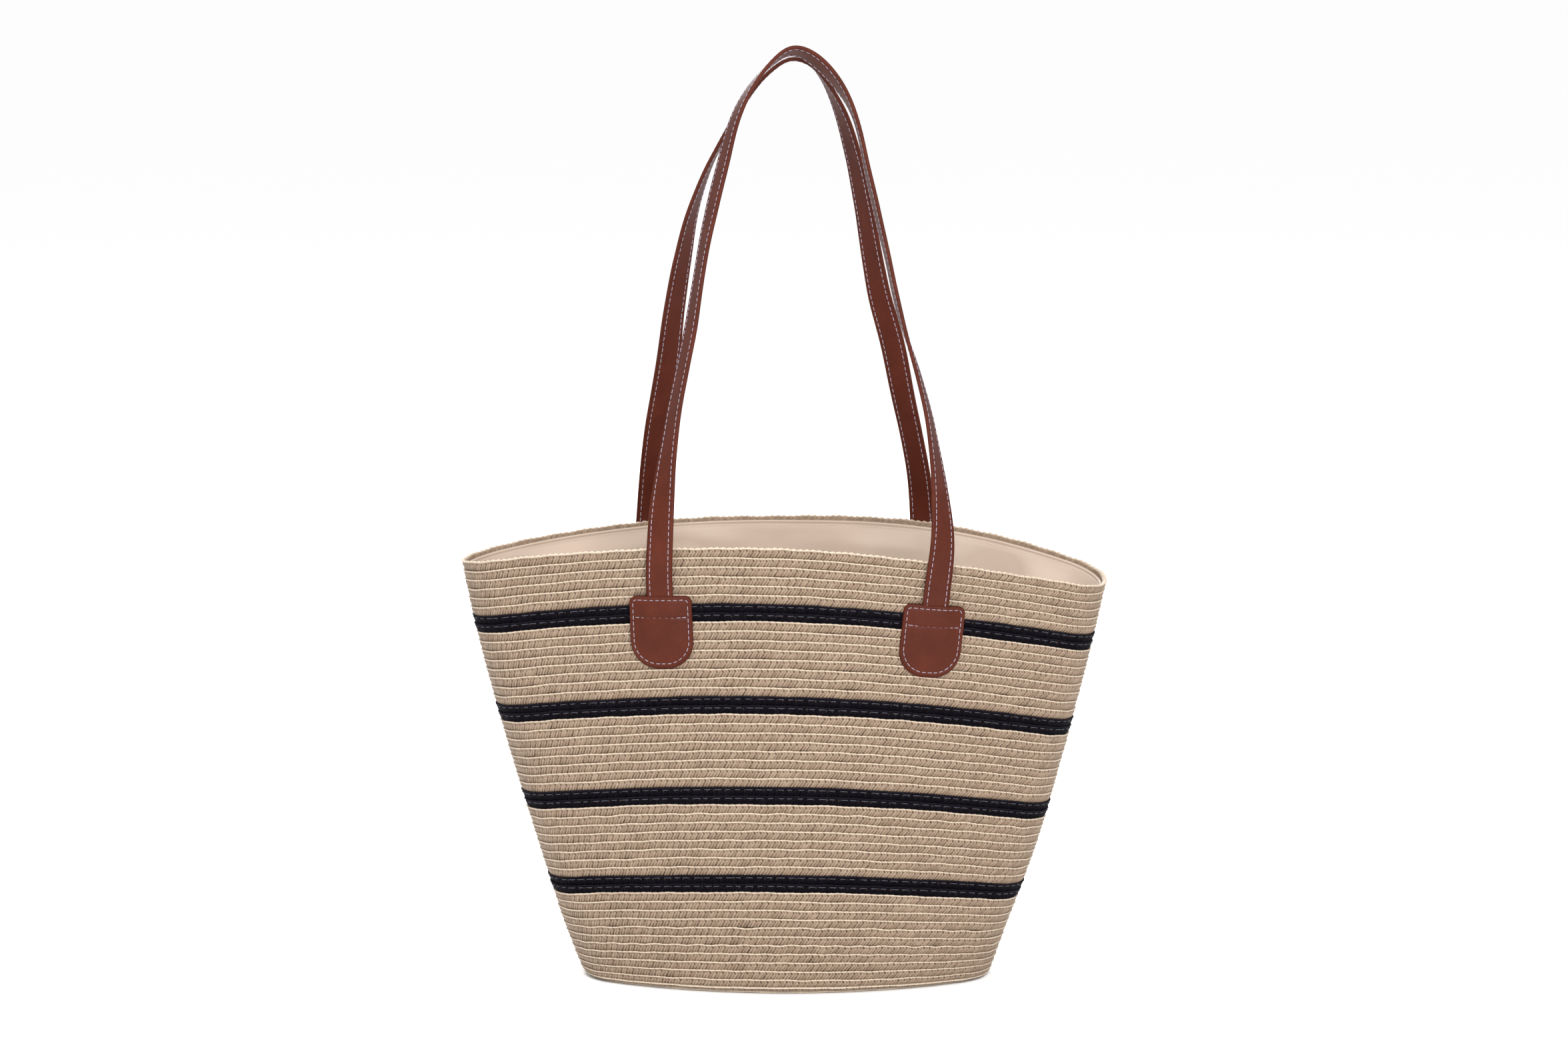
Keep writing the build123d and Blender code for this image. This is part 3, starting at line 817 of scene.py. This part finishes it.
def make_lining_base(share, cloth):
    """The oval bottom of the lining: a thin closed disc, slightly rippled."""
    edge = wall(share, BASE_CORNER * (1 - np.pi / 2) - 2.0, -LINING_INSET)
    scale = np.linspace(1, 0.02, 24)[:, None, None]
    disc = edge[None] * np.concatenate([scale, scale, np.ones_like(scale)], 2)
    ripple = 0.35 * np.sin(disc[..., 0] / 17 + 1.0) * np.sin(disc[..., 1] / 13)
    disc[..., 2] = LINING_INSET + 0.8 + ripple * (1 - scale[..., 0] ** 4)
    under = disc - np.array([0, 0, CLOTH_THICKNESS])
    count = len(share)
    rings = np.concatenate([under[::-1], disc])
    quads = grid_quads(len(rings), count, wrap_columns=True)
    caps = [cap_quads(0, count)[:, ::-1], cap_quads((len(rings) - 1) * count, count)]
    base = make_mesh("lining_base_cloth", rings, np.concatenate([quads, *caps]), cloth)
    fix_to_bag(base, "lining_base")


def make_hem(share, rim, cloth, hem_thread):
    """The folded top edge of the lining: a rounded fold, a narrow band and its stitches."""
    section = np.array([
        (1.2, -3.3), (0.3, -3.35), (-0.1, -3.7), (0.0, -4.3), (0.4, -4.7), (0.9, -4.75),
        (1.4, -4.5), (2.4, -4.4), (3.0, -4.55), (3.6, -4.4), (4.0, -4.0), (3.2, -3.5)])
    share_grid = share[:, None] + 0 * section[:, 0]
    points = wall(share_grid, rim - section[:, 0], section[:, 1])
    quads = grid_quads(len(share), len(section), wrap_rows=True, wrap_columns=True)[:, ::-1]
    hem = make_mesh("lining_hem_cloth", points, quads, cloth)
    rng = np.random.default_rng(9)
    around = np.linspace(0, 1, 1500)
    line = wall(around, rim - HEM_STITCH_DOWN, -4.6)
    inward = line - wall(around, rim - HEM_STITCH_DOWN, -3.6)
    count = int(reach_along(line)[-1] / HEM_STITCH_PITCH)
    starts = HEM_STITCH_PITCH * np.arange(count)
    lengths = HEM_STITCH_LENGTH * rng.uniform(0.9, 1.1, count)
    thread = stitch_mesh(
        "lining_hem_stitches", line, inward, starts, lengths, HEM_THREAD_RADIUS, hem_thread)
    for piece in (hem, thread):
        fix_to_bag(piece, "lining_hem")


def make_pocket(cloth):
    """An open slip pocket sewn to the back lining."""
    hem_z = np.linspace(POCKET_TOP, POCKET_TOP - 6, 7)
    z = np.concatenate([hem_z, np.linspace(hem_z[-1], POCKET_BOTTOM, 40)[1:]])
    x = np.linspace(POCKET_HALF_WIDTH, -POCKET_HALF_WIDTH, 80)
    x_grid, z_grid = np.meshgrid(x, z)
    radius = face_radius(z_grid)
    y = np.sqrt(radius ** 2 - x_grid ** 2) - radius + half_depth(z_grid)
    edge = np.minimum(POCKET_HALF_WIDTH - np.abs(x_grid), z_grid - POCKET_BOTTOM)
    gape = smoothstep(0, 30, edge) * (1.2 + 1.6 * smoothstep(POCKET_BOTTOM, POCKET_TOP, z_grid))
    hem = 0.5 * np.exp(-((z_grid - POCKET_TOP + 1.5) / 1.6) ** 2)
    y = y - LINING_INSET - POCKET_GAP - gape - hem
    pocket = cloth_sheet("slip_pocket_cloth", np.stack([x_grid, y, z_grid], -1), cloth)
    fix_to_bag(pocket, "slip_pocket")


# ------------------------------ materials


class Nodes:
    """A short way to write a material's nodes."""

    def __init__(self, name):
        self.material = bpy.data.materials.new(name)
        self.material.use_nodes = True
        self.tree = self.material.node_tree
        self.shader = self.tree.nodes["Principled BSDF"]

    def add(self, kind, inputs=None, **settings):
        """A node with its settings, and its inputs given as values or as other nodes' outputs."""
        node = self.tree.nodes.new(kind)
        for key, value in settings.items():
            setattr(node, key, value)
        for key, value in (inputs or {}).items():
            self.feed(node.inputs[key], value)
        return node

    def feed(self, socket, value):
        """Links an output to a socket, or sets the socket's own value."""
        if isinstance(value, bpy.types.NodeSocket):
            self.tree.links.new(value, socket)
        else:
            socket.default_value = value

    def attribute(self, name):
        """The value of a mesh attribute."""
        return self.add("ShaderNodeAttribute", attribute_name=name).outputs["Fac"]

    def math(self, operation, first, second=0.0):
        """One step of arithmetic on values or outputs."""
        return self.add("ShaderNodeMath", {0: first, 1: second}, operation=operation).outputs[0]

    def noise(self, scale, detail, vector):
        """Fractal noise at a place."""
        inputs = {"Scale": scale, "Detail": detail, "Vector": vector}
        return self.add("ShaderNodeTexNoise", inputs).outputs["Fac"]

    def ramp(self, factor, stops):
        """A colour ramp through stops of (place, colour)."""
        node = self.add("ShaderNodeValToRGB", {"Fac": factor})
        elements = node.color_ramp.elements
        while len(elements) < len(stops):
            elements.new(0.5)
        for element, (place, colour) in zip(elements, stops):
            element.position = place
            element.color = (*colour, 1)
        return node.outputs["Color"]

    def mix(self, factor, first, second):
        """A mix of two colours."""
        node = self.add("ShaderNodeMix", {"Factor": factor}, data_type="RGBA")
        self.feed(node.inputs[6], first)
        self.feed(node.inputs[7], second)
        return node.outputs[2]

    def bump(self, height, distance, strength, normal=None):
        """A bumped normal, on top of another one where it is given."""
        inputs = {"Height": height, "Distance": distance, "Strength": strength}
        if normal is not None:
            inputs["Normal"] = normal
        return self.add("ShaderNodeBump", inputs).outputs["Normal"]

    def finish(self, **sockets):
        """Sets the shader's sockets by name, with spaces written as underscores."""
        for key, value in sockets.items():
            self.feed(self.shader.inputs[key.replace("_", " ")], value)
        return self.material


def srgb(red, green, blue):
    """A colour from 0 to 255, as shown on a screen, in linear light."""
    return tuple(((c / 255 + 0.055) / 1.055) ** 2.4 if c > 10 else c / 3295 for c in (red, green, blue))


def straw_material(name, dark, middle, light, lip_highlight, painted_gap_shade, speck, rough, gloss):
    """Plaited paper straw: each strand has its own tone and fine fibres; gaps and feet get painted
    shade, lips a painted highlight.
    """
    n = Nodes(name)
    place = n.add("ShaderNodeTexCoord").outputs["Object"]
    fibre = n.noise(1100, 3, place)
    patch = n.noise(14, 2, place)
    tone = n.math("MULTIPLY", n.attribute("tone"), 0.26)
    tone = n.math("ADD", tone, n.math("MULTIPLY", fibre, 0.62))
    tone = n.math("ADD", tone, n.math("MULTIPLY", patch, 0.1))
    colour = n.ramp(tone, [(0.22, dark), (0.48, middle), (0.76, light)])
    # painted highlight: the crest of each row's lip is mixed towards a lighter colour
    colour = n.mix(n.math("MULTIPLY", n.attribute("lip_highlight"), 0.8), colour, (*lip_highlight, 1))
    # painted shade: each row's foot is mixed towards the straw's dark tone
    colour = n.mix(n.math("MULTIPLY", n.attribute("foot_shade"), 0.8), colour, (*dark, 1))
    # painted shade: gaps and holes are mixed towards the dark gap colour
    colour = n.mix(n.attribute("painted_gap_shade"), colour, (*painted_gap_shade, 1))
    if speck:
        colour = n.mix(n.math("MULTIPLY", n.attribute("speck"), 0.9), colour, (*speck, 1))
    normal = n.bump(fibre, 0.0003, 0.6)
    return n.finish(Base_Color=colour, Roughness=rough, Normal=normal, Specular_IOR_Level=gloss)


def make_straw():
    """Natural straw, with a painted highlight along the rows' lips and painted brown shade in the gaps.
    """
    return straw_material(
        "straw", srgb(109, 90, 73), srgb(131, 112, 94), srgb(149, 130, 112),
        srgb(197, 181, 162), srgb(56, 38, 26), None, 0.5, 0.2)


def make_black_straw():
    """Black straw, with pale specks in some of its holes, a painted highlight on its lips and painted
    shade in its gaps.
    """
    return straw_material(
        "black_straw", srgb(6, 4, 8), srgb(9, 7, 12), srgb(17, 14, 20),
        srgb(24, 21, 28), srgb(1, 1, 2), srgb(96, 84, 80), 0.65, 0.03)


def make_leather():
    """Chestnut coated leather: fine pebble grain, slight mottling, soft gloss."""
    n = Nodes("chestnut_leather")
    place = n.add("ShaderNodeTexCoord").outputs["Object"]
    mottle = n.noise(60, 4, place)
    fleck = n.noise(900, 2, place)
    shade = n.math("ADD", n.math("MULTIPLY", mottle, 0.6), n.math("MULTIPLY", fleck, 0.4))
    colour = n.ramp(shade, [(0.3, srgb(62, 25, 15)), (0.5, srgb(69, 28, 17)), (0.7, srgb(77, 33, 21))])
    grain = n.add("ShaderNodeTexVoronoi", {"Vector": place, "Scale": 1500.0}).outputs["Distance"]
    fine = n.math("ADD", grain, n.math("MULTIPLY", n.noise(2500, 2, place), 0.6))
    normal = n.bump(fine, 0.00012, 0.5, n.bump(mottle, 0.0004, 0.2))
    rough = n.math("MULTIPLY_ADD", fleck, 0.16)
    rough.node.inputs[2].default_value = 0.44
    return n.finish(
        Base_Color=colour, Roughness=rough, Normal=normal, Specular_IOR_Level=0.1)


def make_thread(name, colour, dark):
    """Twisted sewing thread."""
    n = Nodes(name)
    place = n.add("ShaderNodeTexCoord").outputs["Object"]
    twist = n.noise(2600, 2, place)
    shown = n.ramp(twist, [(0.3, dark), (0.6, colour)])
    return n.finish(Base_Color=shown, Roughness=0.55, Normal=n.bump(twist, 0.0001, 0.6))


def make_cloth():
    """Cream satin: a very fine weave with a soft sheen."""
    n = Nodes("cream_satin")
    place = n.add("ShaderNodeTexCoord").outputs["Object"]
    patch = n.noise(9, 3, place)
    colour = n.ramp(patch, [(0.3, srgb(165, 145, 129)), (0.7, srgb(179, 161, 146))])
    wave = {"Vector": place, "Scale": 2200.0, "Distortion": 1.5, "Detail": 1.0}
    across = n.add("ShaderNodeTexWave", wave).outputs["Fac"]
    weave = n.math("MULTIPLY", across, 0.6)
    weave = n.math("ADD", weave, n.noise(1900, 2, place))
    normal = n.bump(weave, 0.00012, 0.35, n.bump(n.noise(40, 3, place), 0.002, 0.2))
    return n.finish(
        Base_Color=colour, Roughness=0.48, Normal=normal, Specular_IOR_Level=0.4,
        Sheen_Weight=0.3, Sheen_Roughness=0.35, Sheen_Tint=(1.0, 0.95, 0.88, 1))


def make_metal():
    """Brushed nickel of the magnetic snap."""
    n = Nodes("snap_nickel")
    place = n.add("ShaderNodeTexCoord").outputs["Object"]
    scratch = n.noise(700, 4, place)
    rough = n.math("MULTIPLY_ADD", scratch, 0.2)
    rough.node.inputs[2].default_value = 0.18
    colour = n.ramp(scratch, [(0.3, srgb(176, 172, 166)), (0.7, srgb(206, 203, 198))])
    return n.finish(
        Base_Color=colour, Metallic=1.0, Roughness=rough, Normal=n.bump(scratch, 0.00005, 0.4))


def dress_snap(metal):
    """Gives the snap's four CAD parts their metal."""
    for name in ("snap_stud", "snap_socket", "snap_stud_washer", "snap_socket_washer"):
        for slot in bpy.data.objects[name].material_slots:
            slot.material = metal


# ------------------------------ stage


def make_floor():
    """A wide pale floor."""
    n = Nodes("pale_floor")
    material = n.finish(Base_Color=(0.98, 0.98, 0.98, 1), Roughness=0.9)
    mesh = bpy.data.meshes.new("floor")
    signs = ((-1, -1), (1, -1), (1, 1), (-1, 1))
    corners = [(x * FLOOR_HALF, y * FLOOR_HALF, 0) for x, y in signs]
    mesh.from_pydata(corners, [], [(0, 1, 2, 3)])
    mesh.materials.append(material)
    floor = bpy.data.objects.new("floor", mesh)
    bpy.context.scene.collection.objects.link(floor)


def make_lamp(name, place, power):
    """A round soft lamp that looks at the bag."""
    lamp = bpy.data.lights.new(name, "AREA")
    lamp.shape = "DISK"
    lamp.size = LAMP_SIZE
    lamp.energy = power
    thing = bpy.data.objects.new(name, lamp)
    thing.location = place
    bpy.context.scene.collection.objects.link(thing)
    direction = Vector(LAMP_TARGET) - thing.location
    thing.rotation_euler = direction.to_track_quat("-Z", "Y").to_euler()


def make_lights():
    """A soft key from the front, weaker lamps above and behind, and a pale surrounding."""
    make_lamp("key", place=(0.4, -2.4, 1.5), power=76)
    make_lamp("top", place=(-0.8, -0.3, 2.1), power=16)
    make_lamp("back", place=(-0.5, 2.6, 1.6), power=45)
    world = bpy.data.worlds.new("pale")
    bpy.context.scene.world = world
    world.use_nodes = True
    background = world.node_tree.nodes["Background"]
    background.inputs["Color"].default_value = (1, 1, 1, 1)
    background.inputs["Strength"].default_value = 1.0


def make_camera():
    """The view from the front, eight degrees above level."""
    camera = bpy.data.cameras.new("camera")
    camera.sensor_width = 36.0
    camera.lens = CAMERA_LENS
    thing = bpy.data.objects.new("camera", camera)
    back = Vector((0, -math.cos(CAMERA_PITCH), math.sin(CAMERA_PITCH)))
    thing.location = CAMERA_TARGET + back * CAMERA_DISTANCE
    thing.rotation_euler = (math.radians(90) - CAMERA_PITCH, 0, 0)
    bpy.context.scene.collection.objects.link(thing)
    bpy.context.scene.camera = thing


make_camera()
make_lights()
make_floor()
bpy.context.scene.view_settings.view_transform = "Standard"

leather = make_leather()
white_thread = make_thread("white_thread", srgb(150, 140, 151), srgb(114, 103, 113))
cream_thread = make_thread("cream_thread", srgb(196, 178, 164), srgb(184, 165, 151))
grey_thread = make_thread("grey_thread", srgb(66, 66, 76), srgb(40, 40, 50))
make_braid(make_straw(), make_black_straw(), grey_thread)
make_lining(make_cloth(), cream_thread)
dress_snap(make_metal())
make_tabs(leather, white_thread)
make_strap("front_handle", FRONT_ROUTE, "front_left", "front_right", -1, leather, white_thread)
make_strap("rear_handle", REAR_ROUTE, "rear_right", "rear_left", 1, leather, white_thread)
